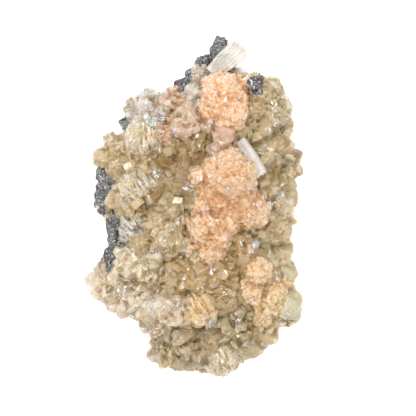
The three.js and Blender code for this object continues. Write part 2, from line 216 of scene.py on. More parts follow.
def rock_slab():
    """A grid of 440 directions by 46 rows: flat below, up the broken flank, and over the dome to the middle."""
    columns, rows = 440, 46
    turn = np.arange(columns) * 2 * np.pi / columns
    dx, dy = np.cos(turn), np.sin(turn)
    row = np.linspace(0, 1, rows)
    share = np.interp(row, [0, 0.12, 0.3, 0.45, 0.62, 1], [0.3, 0.84, 0.97, 0.98, 0.84, 0.03])
    x = np.outer(share, edge_radius(dx, dy) * dx)
    y = np.outer(share, edge_radius(dx, dy) * dy)
    top = rock_top(x.ravel(), y.ravel()).reshape(x.shape)
    height = np.interp(row, [0, 0.12, 0.3, 0.45], [0, 0, 4, 7])[:, None]
    rise = np.clip((row - 0.45) / 0.17, 0, 1)[:, None]
    z = np.where(row[:, None] < 0.45, height, height + (top - height) * rise)
    points = np.stack([x, y, z], axis=-1).reshape(-1, 3)
    outward = np.stack([np.outer(1 - rise[:, 0], dx), np.outer(1 - rise[:, 0], dy),
                        np.broadcast_to(rise, x.shape)], axis=-1).reshape(-1, 3)
    crags = 0.9 * cloud(points, 4, 1) + 0.5 * cloud(points, 1.7, 2) - 0.5 * (grains(points, 1.5, 3) - 0.5)
    crags = np.where(points[:, 2] > 0.5, crags, 0)
    points = points + outward * (crags - 0.3)[:, None]
    points[:, 2] = np.maximum(points[:, 2], 0)
    points = np.vstack([points, [[0, 0, 0]], [[0, 0, top[-1].mean()]]])
    return points, wrapped(rows, columns), 0.5, 0.5, True


def rock_knob(middle, half, seed):
    """A broken knob: the room left by 16 random flat breaks at 0.7 to 1 of its half sizes, roughened by noise."""
    directions, faces = ball_grid(36, 52)
    dice = np.random.default_rng(seed)
    breaks = dice.normal(0, 1, (16, 3))
    breaks /= np.linalg.norm(breaks, axis=1)[:, None]
    facing = np.maximum(directions @ breaks.T, 1e-3)
    reach = np.minimum((dice.uniform(0.72, 1, 16) / facing).min(axis=1), 1.25)
    place = directions * half * reach[:, None]
    crags = 0.2 * cloud(place, 2.4, seed) + 0.1 * cloud(place, 0.9, seed + 1) - 0.1 * grains(place, 1.3, seed)
    points = np.array(middle) + place * (1.1 + crags)[:, None]
    points[:, 2] = np.maximum(points[:, 2], 0.2)
    return points, faces, 0.5, 0.5, False


def basalt_finish():
    """Basalt: near-black purple grains, a teal-grey clay skin in patches, and white powder in fine specks."""
    material, tree, shader, place = begin_finish("weathered_basalt")
    grain = add(tree, "ShaderNodeTexVoronoi", {"Vector": place, "Scale": 1400.0}).outputs["Color"]
    speck = add(tree, "ShaderNodeSeparateColor", {"Color": grain}).outputs[0]
    stone = add(tree, "ShaderNodeValToRGB", {"Fac": speck})
    stone.color_ramp.elements[0].color = linear("#2b2124")
    stone.color_ramp.elements[1].color = linear("#7d6a6f")
    patch = add(tree, "ShaderNodeTexNoise", {"Vector": place, "Scale": 300.0, "Detail": 6.0, "Roughness": 0.7})
    skin = add(tree, "ShaderNodeMapRange", {"Value": patch.outputs["Fac"], "From Min": 0.46, "From Max": 0.58})
    teal = add(tree, "ShaderNodeMix", {0: skin.outputs[0], 6: stone.outputs[0], 7: linear("#84958e")},
               data_type="RGBA")
    dust = add(tree, "ShaderNodeTexNoise", {"Vector": place, "Scale": 1300.0, "Detail": 4.0, "Roughness": 0.6})
    white = add(tree, "ShaderNodeMapRange", {"Value": dust.outputs["Fac"], "From Min": 0.54, "From Max": 0.64})
    powder = add(tree, "ShaderNodeMix", {0: white.outputs[0], 6: teal.outputs[2], 7: linear("#e4dfdb")},
                 data_type="RGBA")
    relief = add(tree, "ShaderNodeBump", {"Height": dust.outputs["Fac"], "Strength": 0.6, "Distance": 0.0004})
    wire(tree, shader, {"Base Color": powder.outputs[2], "Normal": relief.outputs[0], "Roughness": 0.85})
    return material


knobs = [rock_knob(middle, half, 20 + 5 * i) for i, (middle, half) in enumerate(ROCK_KNOBS)]
make_piece("basalt_rock", [rock_slab(), *knobs], basalt_finish(), "basalt", "basalt_matrix")

# Heulandite crust
# The carpet of small crystals over the rock: olive and brown glass with painted shade in the hollows, cream and
# white with painted light at the tips.
# Its clumps grew from the rock and into each other, each region with its own shade and its own habit.
GROUND_LIFT = 1.7
# Shades of the crystals: in the crevices, over the body, and at the tips
# First: painted shade in crevices and grooves; middle: the body's own colour; last: painted light on tips and
# edges
WHITE_CREAM = ("#504438", "#b8a898", "#f2ece6")
ROSE_CREAM = ("#8c6034", "#c49c78", "#ead0b8")
STRAW = ("#60461e", "#b09664", "#e0caa2")
OLIVE_GLASS = ("#7a581e", "#a07e44", "#bea474")
HONEY = ("#886a2c", "#b29454", "#d4b484")
BUFF = ("#60502a", "#a48c60", "#d0bc98")
CREAM = ("#584426", "#bca27c", "#f6e8d0")
CLUMP_REGIONS = {
    "top_end": (WHITE_CREAM, [
        (1.6, 43.6, 4.2, 0.4, "powder"), (-0.6, 36.6, 3.6, 1, "druse"), (-4.4, 37, 2.6, 0.6, "powder")]),
    "left_shoulder": (WHITE_CREAM, [
        (-16.6, 33.7, 4.4, 1, "druse"), (-21.4, 32.6, 3.6, 0.4, "powder"), (-16.3, 27.6, 3.2, 0.6, "blades")]),
    "upper_left": (ROSE_CREAM, [
        (-8, 33.6, 5.8, 0.4, "druse"), (-2.6, 27, 6.6, 0.4, "druse"), (-12.2, 23, 3.6, 1.2, "blades"),
        (5, 19.6, 3.4, -0.4, "druse")]),
    "right_shoulder": (STRAW, [
        (17.6, 38.4, 3.6, 0.8, "blades"), (18.6, 32.6, 4, 0.6, "blades"), (23.8, 37.2, 4.6, 0.4, "druse"),
        (24, 31, 4.8, 0.6, "blades"), (20.4, 25.8, 4, 0.4, "blades"), (24.3, 26, 2.4, 1, "powder")]),
    "right_side": (STRAW, [
        (25.6, 18.8, 6.2, 0.8, "blades"), (29, 13.8, 4.4, 0.4, "blades"), (27, 0.4, 4.4, 0.6, "blades"),
        (24.4, -7.4, 4.8, 0.2, "blades"), (19, 20.6, 3, -1.6, "druse"), (23.6, 8.4, 4, 0.6, "blades")]),
    "left_side": (STRAW, [
        (-26.6, 15.6, 4.4, 0.8, "blades"), (-21.8, 12, 4.8, 1.6, "blades"), (-21.8, -0.8, 4, 0.6, "blades"),
        (-28, 19.3, 2.6, 0.6, "druse")]),
    "olive_hollow": (OLIVE_GLASS, [
        (-7.6, 18.4, 5.6, -1, "bubbles"), (-1.4, 18.8, 5, -0.8, "bubbles"), (-6.8, 11.6, 5.6, -1.8, "bubbles"),
        (-8, 5, 5.4, -1, "bubbles"), (-12, 10.4, 3.4, 0, "bubbles"), (-2.4, 3.4, 3.6, 0, "bubbles")]),
    "left_of_middle": (STRAW, [
        (-11, -7.6, 6.2, 0.6, "blades"), (-15.2, -14.4, 4.4, 0.4, "blades"), (-9.4, -0.8, 4.6, 1, "blades"),
        (-8.4, -15, 3.6, 0.4, "druse")]),
    "lower_left": (CREAM, [
        (-29.8, -25.6, 5, 0.4, "blades"), (-25.6, -30, 4.6, 0, "blades"), (-23.4, -22, 4.2, 1.6, "blades"),
        (-20, -27.4, 5.2, 0.8, "blades"), (-15.6, -21.4, 4.2, 1.2, "blades")]),
    "below_middle": (HONEY, [
        (-7, -23.4, 6.2, 0.6, "druse"), (1, -23.6, 5, 0.4, "druse"), (8.8, -19.4, 4.2, 0.6, "druse"),
        (14, -18, 4, 0.2, "druse"), (11.6, -24.6, 3.4, 0, "druse"), (-2, -29, 3.6, 0, "druse")]),
    "lower_slope": (CREAM, [
        (-11.4, -33, 5, 0.2, "druse"), (-17, -32.6, 3.6, 0, "blades"), (-5.6, -35.6, 4.4, 0, "blades"),
        (-12.6, -40.4, 4.4, 0, "powder"), (-13, -44, 3, -0.2, "powder")]),
    "lower_end": (BUFF, [
        (12, -38.4, 5.6, 0.2, "druse"), (-4.8, -44.6, 5.2, 0, "blades"), (-9, -48.6, 4, 0.6, "blades"),
        (2.2, -46, 4.6, 0.6, "blades"), (1, -51, 3.6, 0.4, "blades"), (14, -46.2, 4.6, 0.2, "blades")]),
    "lower_right": (STRAW, [
        (26, -18.6, 4.6, 0.8, "blades"), (21.4, -39.6, 4.8, 0, "blades"), (15, -33.4, 3.6, 0, "druse"),
        (24.6, -25.6, 3.4, 1, "druse")]),
}

relief_step = 1.0
relief_x, relief_y = np.meshgrid(np.arange(-45, 46, relief_step), np.arange(-66, 67, relief_step))


def model_relief():
    """The CAD model's height over a grid of places, by dropping a line on every node, and its 7 mm blur."""
    corners, triangles = [], []
    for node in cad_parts.values():
        start = len(corners)
        corners += [v.co.copy() for v in node.data.vertices]
        triangles += [[start + v for v in face.vertices] for face in node.data.polygons]
    tree = BVHTree.FromPolygons(corners, triangles)
    down = Vector((0, 0, -1))
    heights = []
    for x, y in zip(relief_x.ravel() - LAYOUT_MIDDLE[0], relief_y.ravel() - LAYOUT_MIDDLE[1]):
        hit = tree.ray_cast(Vector((x * MM, y * MM, 0.1)), down)[0]
        heights.append(hit.z / MM if hit else 4.0)
    blurred = np.array(heights).reshape(relief_x.shape)
    for turn in range(6):
        padded = np.pad(blurred, 2, mode="edge")
        slices = [padded[i:i + blurred.shape[0], 2:-2] if turn % 2 == 0 else
                  padded[2:-2, i:i + blurred.shape[1]] for i in range(5)]
        blurred = sum(slices) / 5
    return blurred


blurred_relief = model_relief()


def openness(points):
    """From 0 in a hollow to 1 on a crest: how far a point stands above the blurred relief, over 6 mm."""
    x = np.clip((points[:, 0] + 45) / relief_step, 0, relief_x.shape[1] - 1.001)
    y = np.clip((points[:, 1] + 66) / relief_step, 0, relief_x.shape[0] - 1.001)
    column, row = x.astype(int), y.astype(int)
    a, b = x - column, y - row
    level = (blurred_relief[row, column] * (1 - a) * (1 - b) + blurred_relief[row, column + 1] * a * (1 - b)
             + blurred_relief[row + 1, column] * (1 - a) * b + blurred_relief[row + 1, column + 1] * a * b)
    return np.clip(0.5 + (points[:, 2] - level) / 6, 0, 1)


def lump(middle, radius, grain, seed):
    """The heart of a clump: a ball whose radius is moved by slow noise and by rounded grains of two sizes."""
    directions, faces = ball_grid(30, 44)
    place = middle + directions * radius
    coarse, fine = grains(place, grain, seed), grains(place, grain * 0.45, seed + 9)
    bulge = 0.4 * grain * (0.9 * (0.6 - coarse ** 2) + 0.35 * (0.6 - fine ** 2))
    bulge = bulge + 0.15 * radius * cloud(place, radius * 0.7, seed)
    points = middle + directions * (radius * 0.95 + bulge)[:, None]
    points[:, 2] = np.maximum(points[:, 2], max(1, middle[2] - radius * 0.6))
    return points, faces, 0.5, 0.5, True


# Each habit is one or more generations of crystals: spacing, then half width, half depth and half length, then
# how far they lean together and each alone
HABITS = {
    "druse": [(4.2, (2.0, 1.4, 2.5), 0.5, 0.3), (2.3, (1.15, 0.9, 1.4), 0.3, 0.3)],
    "blades": [(5.6, (2.8, 1.2, 4.0), 0.6, 0.25), (3.2, (1.7, 0.75, 2.5), 0.5, 0.3),
               (1.9, (0.9, 0.5, 1.2), 0.3, 0.3)],
    "bubbles": [(3.8, (2.0, 1.7, 2.0), 0.7, 0.35), (2.3, (1.2, 1.1, 1.3), 0.4, 0.35)],
    "ball": [(2.6, (1.1, 1.0, 1.1), 0.2, 0.3), (1.5, (0.75, 0.7, 0.85), 0.15, 0.3)],
    "powder": [(1.3, (0.6, 0.5, 0.6), 0.2, 0.4)],
    "plates": [(2.2, (3.0, 0.5, 1.5), 0.1, 0.08), (1.3, (1.6, 0.3, 1.0), 0.05, 0.08)],
}
BEVEL = np.radians(50)


def facets(points, normals, roots, frames, sizes):
    """How far each point must move along its normal to the outermost facet of the 7 crystals rooted nearest, the
    number of that facet out of ten to a crystal, and a rim for painted light: 1 at its edges, a painted highlight,
    and below 0 in the grooves between crystals, painted shade. A crystal is where |u| < a, |v| < b, |w| < c and
    |u| sin 50 + |w| cos 50 < 0.3 a sin 50 + c cos 50, along its frame's axes."""
    tree = KDTree(len(roots))
    for number, root in enumerate(roots):
        tree.insert(root, number)
    tree.balance()
    near = np.array([[hit[1] for hit in tree.find_n(point, 7)] for point in points])
    offset = points[:, None] - roots[near]
    place = np.einsum("pcx,pcax->pca", offset, frames[near])
    heading = np.einsum("px,pcax->pca", normals, frames[near])
    u, w = place[..., 0], place[..., 2]
    along_u, along_w = heading[..., 0], heading[..., 2]
    sine, cosine = np.sin(BEVEL), np.cos(BEVEL)
    reach = 0.3 * sizes[near, 0] * sine + sizes[near, 2] * cosine
    pairs = [(place[..., k], heading[..., k], sizes[near, k]) for k in range(3)]
    pairs += [(turn * u * sine + w * cosine, turn * along_u * sine + along_w * cosine, reach) for turn in (1, -1)]
    ways_out, way_in = [], np.full(u.shape, -9.0)
    for distance, slope, half in pairs:
        steep = np.maximum(np.abs(slope), 1e-4)
        distance = distance * np.sign(slope)
        ways_out.append((half - distance) / steep)
        way_in = np.maximum(way_in, (-half - distance) / steep)
    first = np.argmin(ways_out, axis=0)
    ahead = np.array([slope > 0 for _, slope, _ in pairs])
    ways_out = np.sort(np.array(ways_out), axis=0)
    height = np.where(way_in < ways_out[0], ways_out[0], 0)
    best = np.argmax(height, axis=1)
    rows = np.arange(len(points))
    first = first[rows, best]
    facet = near[rows, best] * 10 + first * 2 + ahead[first, rows, best]
    top, second = height[rows, best], np.sort(height, axis=1)[:, -2]
    rim = np.exp(-(ways_out[1] - ways_out[0])[rows, best] / 0.3)
    return top, facet, rim - 1.3 * np.exp(-(top - second) / 0.2) * (top > 0)


def read_skin(mesh):
    """A skin's points, its normals averaged four times over their neighbours, and the number of points."""
    count = len(mesh.vertices)
    points, normals, edges = np.empty(count * 3), np.empty(count * 3), np.empty(len(mesh.edges) * 2, np.int32)
    mesh.vertices.foreach_get("co", points)
    mesh.vertex_normals.foreach_get("vector", normals)
    mesh.edges.foreach_get("vertices", edges)
    points = points.reshape(-1, 3) / MM + LAYOUT_MIDDLE
    normals = normals.reshape(-1, 3)
    ends, others = np.concatenate([edges[0::2], edges[1::2]]), np.concatenate([edges[1::2], edges[0::2]])
    for _ in range(4):
        normals = np.stack([np.bincount(ends, normals[others, k], count) for k in range(3)], axis=1)
        normals /= np.linalg.norm(normals, axis=1)[:, None] + 1e-9
    return points, normals, count


def write_skin(mesh, points, depth, pick, smooth):
    """Moves a skin's points and gives each its depth and pick."""
    points[:, 2] = np.maximum(points[:, 2], 1)
    mesh.vertices.foreach_set("co", ((points - LAYOUT_MIDDLE) * MM).astype(np.float32).ravel())
    # The first attribute is painted light: painted shade near 0, painted highlight near 1
    for label, values in (("depth", np.clip(depth, 0, 1)), ("pick", pick)):
        layer = mesh.attributes.get(label) or mesh.attributes.new(label, "FLOAT", "POINT")
        layer.data.foreach_set("value", values.astype(np.float32))
    mesh.polygons.foreach_set("use_smooth", np.full(len(mesh.polygons), smooth))
    mesh.update()


def between(points, lobes):
    """1 where two lobes meet, falling off over a millimetre of difference between their distances. Painted shade
    darkens the skin there.
    """
    gaps = np.sort([np.linalg.norm(points - lobe[0], axis=1) - lobe[1] for lobe in lobes], axis=0)
    return np.exp(-(gaps[1] - gaps[0]) / 0.9)


def encrust(piece, lobes, fellows, dice, side=None):
    """Covers a melted skin with crystals of each lobe's habit. They stand on random points of it, one to a cube
    as large as their spacing, and lean and turn together over some 5 mm. Its painted light comes from openness,
    height and rim: painted shade in hollows, at the crystals' feet, in the grooves between crystals and where
    its fellows meet, and painted highlight on crests, tips and edges. Pick is each facet's own."""
    points, normals, count = read_skin(piece.data)
    gaps = [np.linalg.norm(points - middle, axis=1) - radius for middle, radius, _ in lobes]
    habits = np.array([habit for _, _, habit in lobes])[np.argmin(gaps, axis=0)]
    height, rim, pick = np.zeros(count), np.zeros(count), np.full(count, 0.3)
    seen = np.flatnonzero((normals[:, 2] > -0.6) & (points[:, 2] > 2.5))
    for habit in sorted(set(habits)):
        for spacing, size, together, alone in HABITS[habit]:
            ground = dice.permutation(seen[habits[seen] == habit])
            roots = ground[np.unique(np.floor(points[ground] / spacing), axis=0, return_index=True)[1]]
            if len(roots) < 8:
                continue
            seats = points[roots]
            drift = np.stack([cloud(seats, 5, seed) for seed in range(71, 77)], axis=1)
            lines = normals[roots] + together * drift[:, :3] * 1.6 + dice.normal(0, alone, seats.shape)
            sides = drift[:, 3:] if side is None else np.repeat([side], len(roots), axis=0)
            sides = sides + dice.normal(0, alone * 0.5, seats.shape)
            lines /= np.linalg.norm(lines, axis=1)[:, None]
            sides = sides - np.sum(sides * lines, axis=1)[:, None] * lines
            sides /= np.linalg.norm(sides, axis=1)[:, None]
            frames = np.stack([sides, np.cross(lines, sides), lines], axis=1)
            sizes = np.array(size) * dice.uniform(0.6, 1.25, (len(roots), 1)) * dice.uniform(0.8, 1.2, seats.shape)
            own = dice.uniform(0, 1, len(roots) * 10)
            found, facet, edge = facets(points[seen], normals[seen], seats, frames, sizes)
            taller = found > height[seen]
            higher = seen[taller]
            height[higher], pick[higher] = found[taller], own[facet[taller]]
            rim[higher] = edge[taller]
    height = np.minimum(height, 5)
    points = points + normals * height[:, None]
    # Painted shade in hollows, crystal feet, grooves and lobe creases; painted highlight on crests, tips and edges
    depth = 0.4 * openness(points) + 0.26 * np.minimum(height / 1.3, 1) + 0.26 * rim
    depth -= 0.4 * between(points, fellows)
    write_skin(piece.data, points, depth, pick, habits[0] == "ball")


# The finest crystals that are drawn, in metres: coarser than the real sugar of 0.1 to 0.3 mm, so that it shows
FINEST_GRAIN = 0.0005


def crystal_finish(name, shades, clarity, drift="#dccda2"):
    """Zeolite crystals grown together: painted shade in crevices and grooves, the body's own colour, and
    painted light at tips and edges, drifting towards one more colour in wide patches. Pale seams and white glints
    are painted highlights. Their light scatters inside, each facet has its own gloss, and the finest grains are
    drawn as bump."""
    material, tree, shader, place = begin_finish(name)
    # Painted light read from the skin: painted shade near 0 in crevices, painted highlight near 1 on tips and
    # edges
    depth = add(tree, "ShaderNodeAttribute", {}, attribute_name="depth").outputs["Fac"]
    pick = add(tree, "ShaderNodeAttribute", {}, attribute_name="pick").outputs["Fac"]
    veil = add(tree, "ShaderNodeTexNoise", {"Vector": place, "Scale": 160.0, "Detail": 3.0}).outputs["Fac"]
    mottle = add(tree, "ShaderNodeMath", {0: veil, 1: 0.4, 2: depth}, operation="MULTIPLY_ADD")
    shade = add(tree, "ShaderNodeMath", {0: pick, 1: 0.42, 2: mottle.outputs[0]}, operation="MULTIPLY_ADD")
    shade = add(tree, "ShaderNodeMath", {0: shade.outputs[0], 1: 0.69}, operation="MULTIPLY")
    # The ramp runs from painted shade, through the body's own colour, to painted light
    ramp = add(tree, "ShaderNodeValToRGB", {"Fac": shade.outputs[0]})
    ramp.color_ramp.elements[0].position, ramp.color_ramp.elements[1].position = 0.22, 0.8
    ramp.color_ramp.elements.new(0.54)
    for element, colour in zip(ramp.color_ramp.elements, shades):
        element.color = linear(colour)
    fine = add(tree, "ShaderNodeTexNoise", {"Vector": place, "Scale": 1 / FINEST_GRAIN, "Detail": 3.0})
    relief = add(tree, "ShaderNodeBump", {"Height": fine.outputs["Fac"], "Strength": 0.35, "Distance": 0.0002})
    # Painted highlights along the outlines of the finest crystals: thin pale seams where two coarser noises cross
    # their middle
    threaded = ramp.outputs[0]
    for scale, strength in ((800.0, 0.32), (1800.0, 0.3)):
        seam = add(tree, "ShaderNodeTexNoise", {"Vector": place, "Scale": scale, "Detail": 1.5, "Distortion": 0.8})
        away = add(tree, "ShaderNodeMath", {0: seam.outputs["Fac"], 1: 0.5}, operation="SUBTRACT")
        away = add(tree, "ShaderNodeMath", {0: away.outputs[0]}, operation="ABSOLUTE")
        seam_highlight = add(tree, "ShaderNodeMapRange", {"Value": away.outputs[0], "From Min": 0.0, "From Max": 0.035,
                                                  "To Min": strength, "To Max": 0.0})
        threaded = add(tree, "ShaderNodeMix", {0: seam_highlight.outputs[0], 6: threaded, 7: linear(shades[2])},
                       data_type="RGBA").outputs[2]
    wide = add(tree, "ShaderNodeTexNoise", {"Vector": place, "Scale": 80.0, "Detail": 1.0}).outputs["Fac"]
    patch = add(tree, "ShaderNodeMapRange", {"Value": wide, "From Min": 0.42, "From Max": 0.66,
                                             "To Min": 0.0, "To Max": 0.2})
    threaded = add(tree, "ShaderNodeMix", {0: patch.outputs[0], 6: threaded, 7: linear(drift)},
                   data_type="RGBA").outputs[2]
    # Painted glints: white specks in clusters, mixed into the base colour
    cluster = add(tree, "ShaderNodeTexNoise", {"Vector": place, "Scale": 140.0, "Detail": 1.0}).outputs["Fac"]
    dense = add(tree, "ShaderNodeMapRange", {"Value": cluster, "From Min": 0.5, "From Max": 0.62,
                                             "To Min": 0.0, "To Max": 0.12})
    speck = add(tree, "ShaderNodeMath", {0: fine.outputs["Fac"], 1: dense.outputs[0]}, operation="ADD")
    painted_glint = add(tree, "ShaderNodeMapRange", {"Value": speck.outputs[0], "From Min": 0.73, "From Max": 0.76})
    gloss = add(tree, "ShaderNodeMapRange", {"Value": pick, "From Min": 0.2, "From Max": 0.8,
                                             "To Min": 0.26, "To Max": 0.07})
    # Painted glints on whole facets: near white where a facet's pick is above 0.965, broken by the fine noise
    painted_pearl_glint = add(tree, "ShaderNodeMapRange", {"Value": pick, "From Min": 0.965, "From Max": 0.97})
    broken = add(tree, "ShaderNodeMapRange", {"Value": fine.outputs["Fac"], "From Min": 0.42, "From Max": 0.56})
    painted_pearl_glint = add(tree, "ShaderNodeMath", {0: painted_pearl_glint.outputs[0], 1: broken.outputs[0]}, operation="MULTIPLY")
    bright = add(tree, "ShaderNodeMath", {0: painted_pearl_glint.outputs[0], 1: painted_glint.outputs[0]}, operation="MAXIMUM")
    pearly = add(tree, "ShaderNodeMix", {0: bright.outputs[0], 6: threaded, 7: linear("#fdf9fb")},
                 data_type="RGBA")
    # The coat's own normals are turned by chance from grain to grain, so that single grains glint
    cells = add(tree, "ShaderNodeTexVoronoi", {"Vector": place, "Scale": 1 / FINEST_GRAIN}).outputs["Color"]
    turned = add(tree, "ShaderNodeVectorMath", {0: cells, 1: (0.5, 0.5, 0.5)}, operation="SUBTRACT")
    upright = add(tree, "ShaderNodeNewGeometry", {}).outputs["Normal"]
    tilted = add(tree, "ShaderNodeVectorMath", {0: turned.outputs[0], 1: (0.7, 0.7, 0.7), 2: upright},
                 operation="MULTIPLY_ADD")
    facet = add(tree, "ShaderNodeVectorMath", {0: tilted.outputs[0]}, operation="NORMALIZE")
    shader.subsurface_method = "BURLEY"
    wire(tree, shader, {
        "Base Color": pearly.outputs[2], "Roughness": gloss.outputs[0], "Normal": relief.outputs[0], "IOR": 1.5,
        "Specular IOR Level": 1.0, "Subsurface Weight": 1.0, "Subsurface Radius": (1.0, 0.7, 0.45),
        "Subsurface Scale": 0.0011, "Transmission Weight": clarity, "Coat Normal": facet.outputs[0],
        "Coat Weight": 1.0, "Coat Roughness": 0.06, "Coat IOR": 1.6})
    return material


def lobe_middle(lobe):
    x, y, _, lift = lobe[:4]
    return np.array([x, y, float(rock_top(np.array([x]), np.array([y]))[0]) + lift])


# Where the crust is broken away and the rock shows: place and radius
BARE_PLACES = [(-30, 8, 7), (-31, 2, 4), (-27, -11, 5.5), (-27.4, -17.6, 4.5), (6, 49, 5), (20, 41, 3.4),
               (-3, 42, 4), (-22, 27.6, 3.4), (27.6, 23.6, 3), (-4, -51, 4.6), (19.6, -43, 3.4),
               (20.6, -17, 2.6), (-24.6, -4, 3)]


def crust_ground():
    """A thin polar slab over the rock, moved by grains of two sizes and by slow noise, and closed underneath
    within the rock. It sinks into the rock towards each bare place."""
    columns, rows = 260, 90
    turn = np.arange(columns) * 2 * np.pi / columns
    reach = edge_radius(np.cos(turn), np.sin(turn))
    share = np.concatenate([[0.8], np.linspace(0.95, 0.01, rows - 1)])
    x, y = np.outer(share, reach * np.cos(turn)), np.outer(share, reach * np.sin(turn))
    z = rock_top(x.ravel(), y.ravel()).reshape(x.shape) + GROUND_LIFT
    z[0] -= 4
    z[1] -= 2.4
    points = np.stack([x, y, z], axis=-1).reshape(-1, 3)
    coarse, fine = grains(points, 2.6, 3), grains(points, 1.1, 4)
    points[:, 2] += 1.5 * (0.5 - coarse ** 2) + 0.5 * (0.5 - fine ** 2) + 0.7 * cloud(points, 5, 6)
    for x, y, radius in BARE_PLACES:
        away = np.hypot(points[:, 0] - x, points[:, 1] - y) / radius
        points[:, 2] -= 4.5 * np.clip(1.5 - 1.5 * away, 0, 1)
    points = np.vstack([points, [[0, 0, 14]], [[0, 0, points[-columns:, 2].mean()]]])
    # Painted shade in the hollows and between the grains, painted highlight on crests and grain tops
    depth = np.clip(openness(points) + 0.4 * (0.4 - grains(points, 2.6, 3)), 0, 1)
    return points, wrapped(rows, columns), depth, 0.4, True


# Ground shades: painted shade in its hollows, the body's own colour, painted light on crests and grain tops
ground_finish = crystal_finish("crust_ground_druse", ("#6b4c1e", "#a5824c", "#cdb184"), 0.0)
make_piece("crust_ground", [crust_ground()], ground_finish, "druse", "heulandite_crust")

ALL_CLUMPS = [(lobe_middle(lobe), lobe[2]) for _, lobes in CLUMP_REGIONS.values() for lobe in lobes]
REGION_OF_CLUMP = np.concatenate([[i] * len(lobes) for i, (_, lobes) in enumerate(CLUMP_REGIONS.values())])


def low_lumps(dice):
    """Low lumps of crust between the clumps, spread evenly over the rock, and the region each belongs to."""
    count = 420
    step = np.arange(count) + 0.5
    turn = step * np.pi * (3 - np.sqrt(5))
    reach = edge_radius(np.cos(turn), np.sin(turn)) * np.sqrt(step / count) * 0.95
    x, y = reach * np.cos(turn) + dice.normal(0, 0.5, count), reach * np.sin(turn) + dice.normal(0, 0.5, count)
    middles = np.stack([x, y, rock_top(x, y) + dice.uniform(-0.6, 1.0, count)], axis=1)
    shown = np.ones(count, bool)
    for middle, radius in ALL_CLUMPS:
        shown &= np.linalg.norm(middles - middle, axis=1) > radius * 0.75
    for x, y, radius in BARE_PLACES:
        shown &= np.hypot(middles[:, 0] - x, middles[:, 1] - y) > radius * 0.9
    middles = middles[shown]
    gaps = [np.linalg.norm(middles - middle, axis=1) - radius for middle, radius in ALL_CLUMPS]
    return middles, REGION_OF_CLUMP[np.argmin(gaps, axis=0)]


# A heart leaves room for its crystals within its clump's radius, and the skins are remade in voxels of these
# millimetres, about a quarter of the finest crystals' width
HEART_SHARE = 0.84
LOW_LUMP_RADIUS = 2.6
CRUST_VOXEL, BALL_VOXEL, ROSETTE_VOXEL = 0.3, 0.26, 0.25
low_middles, low_regions = low_lumps(np.random.default_rng(7))
for number, (region, (shades, lobes)) in enumerate(CLUMP_REGIONS.items()):
    dice = np.random.default_rng(100 + number)
    hearts = [(lobe_middle(lobe), lobe[2] * HEART_SHARE, lobe[4]) for lobe in lobes]
    hearts += [(middle, LOW_LUMP_RADIUS, "druse") for middle in low_middles[low_regions == number]]
    parts = [lump(middle, radius, 3, i + 17 * number) for i, (middle, radius, _) in enumerate(hearts)]
    piece = make_piece("crust_" + region, parts, crystal_finish(region + "_druse", shades, 0.12), "druse",
                       "heulandite_crust", melt=CRUST_VOXEL)
    encrust(piece, hearts, ALL_CLUMPS, dice)

# Stellerite balls
# Peach balls of radiating stellerite: the needles end at the surface in a druse of fine blunt crystals, orange
# where the light is caught between the lobes and pale at their crests. Each cluster is lobes grown into one.
# First: painted shade where lobes meet and in grooves; middle: body colour; last: painted light on crests and tips
BRIGHT_PEACH = ("#cc7828", "#f0b880", "#fce4c8")
ORANGE_PEACH = ("#b47428", "#dca86c", "#f4d6b4")
YELLOW_PEACH = ("#947034", "#d4ac74", "#f0d8ac")
BALLS = {
    "stellerite_ball_upper": (BRIGHT_PEACH, [
        (8, 37, 7.3, 3.4), (10.8, 30, 5.4, 5), (4.6, 32.4, 4.4, 3.4), (13, 40, 3.6, 2.6), (7.4, 33, 5.4, 4.4),
        (12, 34.4, 5, 4)]),
    "stellerite_ball_middle": (ORANGE_PEACH, [
        (10, 8.7, 9.6, 3.2), (16.4, -1.6, 7, 3), (2.4, -7.4, 6.6, 2.4), (4, -14, 5.4, 2), (0.6, 9.6, 3, 4.4),
        (3, 1.4, 5.2, 3.4), (9, -4, 6, 3.4), (-1.8, -13.4, 3.4, 1.4), (6, 3.4, 7, 3), (13, 2.6, 7.4, 3.2),
        (5.6, -10, 5.6, 2.8)]),
    "stellerite_ball_lower_right": (YELLOW_PEACH, [
        (19.6, -21.8, 4.3, 3.6), (17.8, -28.4, 4.8, 3.2), (25.4, -31, 6, 4), (21.8, -35.8, 4.4, 3),
        (28.6, -27, 3, 4.4)]),
}
BALL_HEART_SHARE = 0.86
ball_dice = np.random.default_rng(31)


def spread(count, dice, jitter):
    """Directions spaced evenly over a ball by the golden angle, each moved a little by chance."""
    step = np.arange(count) + 0.5
    z = 1 - 2 * step / count
    turn = step * np.pi * (3 - np.sqrt(5))
    around = np.sqrt(1 - z * z)
    directions = np.stack([around * np.cos(turn), around * np.sin(turn), z], axis=1)
    directions += dice.normal(0, jitter / np.sqrt(count) * 2, directions.shape)
    return directions / np.linalg.norm(directions, axis=1)[:, None]


for name, (shades, lobes) in BALLS.items():
    hearts = [(lobe_middle(lobe), lobe[2] * BALL_HEART_SHARE, "ball") for lobe in lobes]
    swellings = []
    for middle, radius, habit in hearts:
        toward = spread(int(4 + 0.7 * radius ** 2), ball_dice, 0.8)
        toward = toward[toward[:, 2] > -0.3]
        size = radius * ball_dice.uniform(0.28, 0.44, len(toward))
        seats = middle + toward * (radius * ball_dice.uniform(0.56, 0.78, (len(toward), 1)))
        swellings += [(seat, reach, habit) for seat, reach in zip(seats, size)]
    hearts += swellings
    parts = [lump(middle, radius, 2.4, i) for i, (middle, radius, _) in enumerate(hearts)]
    piece = make_piece(name, parts, crystal_finish(name + "_druse", shades, 0.05, "#f8ccb2"), "peach_stellerite",
                       name, melt=BALL_VOXEL)
    encrust(piece, hearts, hearts[:len(lobes)], ball_dice)

